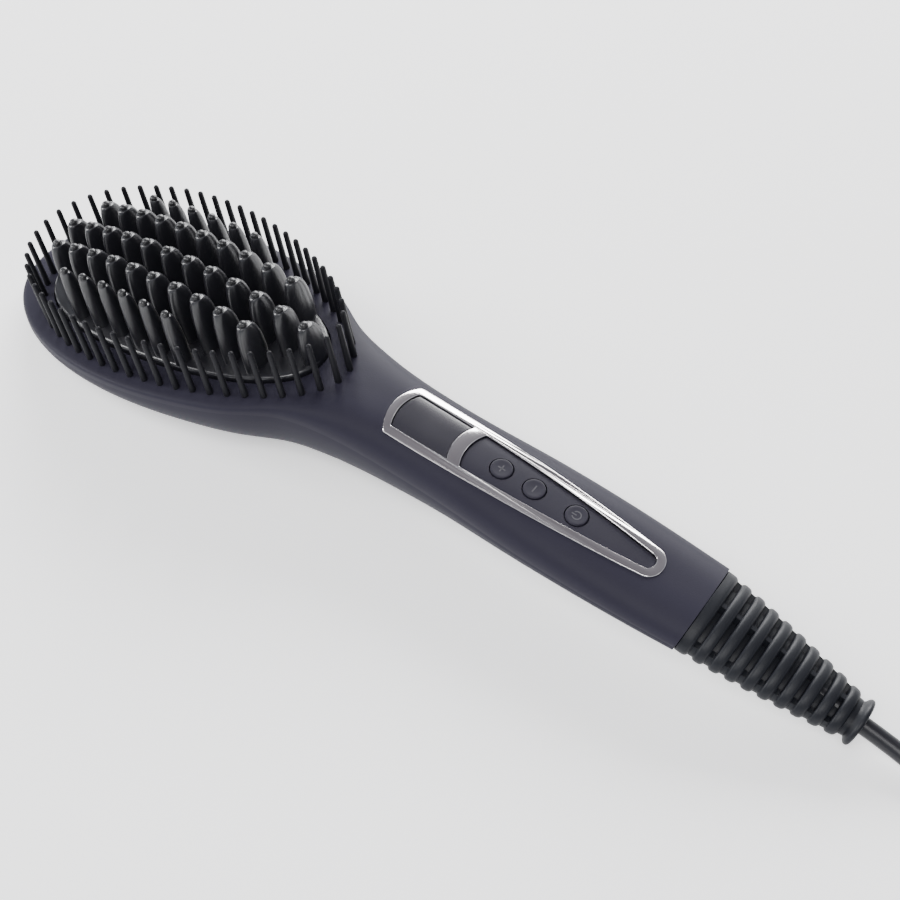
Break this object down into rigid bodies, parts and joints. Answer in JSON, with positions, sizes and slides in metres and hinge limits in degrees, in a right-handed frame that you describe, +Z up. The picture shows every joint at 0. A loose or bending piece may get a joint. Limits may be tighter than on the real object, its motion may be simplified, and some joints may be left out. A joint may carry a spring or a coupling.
{
  "type": "heated styling brush",
  "caption": "Heated paddle brush for straightening hair: oval head of heated teeth ringed by guard bristles, slim handle with display and push buttons, ribbed cord sleeve, coiled cord and plug.",
  "frame": {"origin": "on the surface the brush lies on, below the middle of the tooth field", "axes": "+X from the head to the cord end, +Y across the brush, +Z up, out of the toothed side"},
  "size_m": [0.4597, 0.0901, 0.0446],
  "materials": {
    "shell": "soft-touch matte",
    "plate": "glossy ceramic coat",
    "nubs": "satin",
    "bristles": "satin nylon",
    "trim": "polished",
    "lens": "gloss",
    "keys": "satin",
    "switches": "matte",
    "board": "solder mask",
    "module": "matte",
    "components": "matte",
    "steel": "zinc plated",
    "heater": "ceramic",
    "mica": "matte",
    "clamp": "satin",
    "rubber": "satin",
    "wire": "matte",
    "cord": "satin",
    "tie": "woven",
    "brass": "nickel plated"
  },
  "bodies": {
    "brush": {"upper_housing": "shell", "lower_housing": "shell", "heater_plate": "plate", "plate_teeth": "plate", "tooth_tips": "nubs", "guard_bristles": "bristles", "bristle_band": "bristles", "ptc_heater": "heater", "insulation_sheet": "mica", "heater_clamp": "clamp", "heater_clamp_screws": "steel", "thermistor": "brass", "thermistor_screw": "steel", "thermal_fuse": "steel", "bezel_frame": "trim", "display_window": "lens", "display_module": "module", "button_panel": "keys", "plus_switch": "switches", "minus_switch": "switches", "power_switch": "switches", "control_board": "board", "board_screws": "steel", "triac": "components", "capacitor": "components", "housing_screws": "steel", "strain_relief": "rubber", "cord_inlet": "cord", "heater_wires": "wire", "sensor_wires": "wire", "mains_wires": "wire", "power_cord": "cord", "cord_coil": "cord", "cord_tail": "cord", "cord_tie": "tie", "plug_body": "rubber", "plug_pins": "brass"},
    "plus_key": {"plus_button": "keys", "plus_plunger": "switches"},
    "minus_key": {"minus_button": "keys", "minus_plunger": "switches"},
    "power_key": {"power_button": "keys", "power_plunger": "switches"}
  },
  "joints": [
    {"name": "plus_press", "type": "slide", "parent": "brush", "child": "plus_key", "axis": [-0.068, 0, -0.9977], "range_m": [0, 0.0005], "stiffness_N_per_m": 600},
    {"name": "minus_press", "type": "slide", "parent": "brush", "child": "minus_key", "axis": [-0.068, 0, -0.9977], "range_m": [0, 0.0005], "stiffness_N_per_m": 600},
    {"name": "power_press", "type": "slide", "parent": "brush", "child": "power_key", "axis": [-0.068, 0, -0.9977], "range_m": [0, 0.0005], "stiffness_N_per_m": 600}
  ]
}
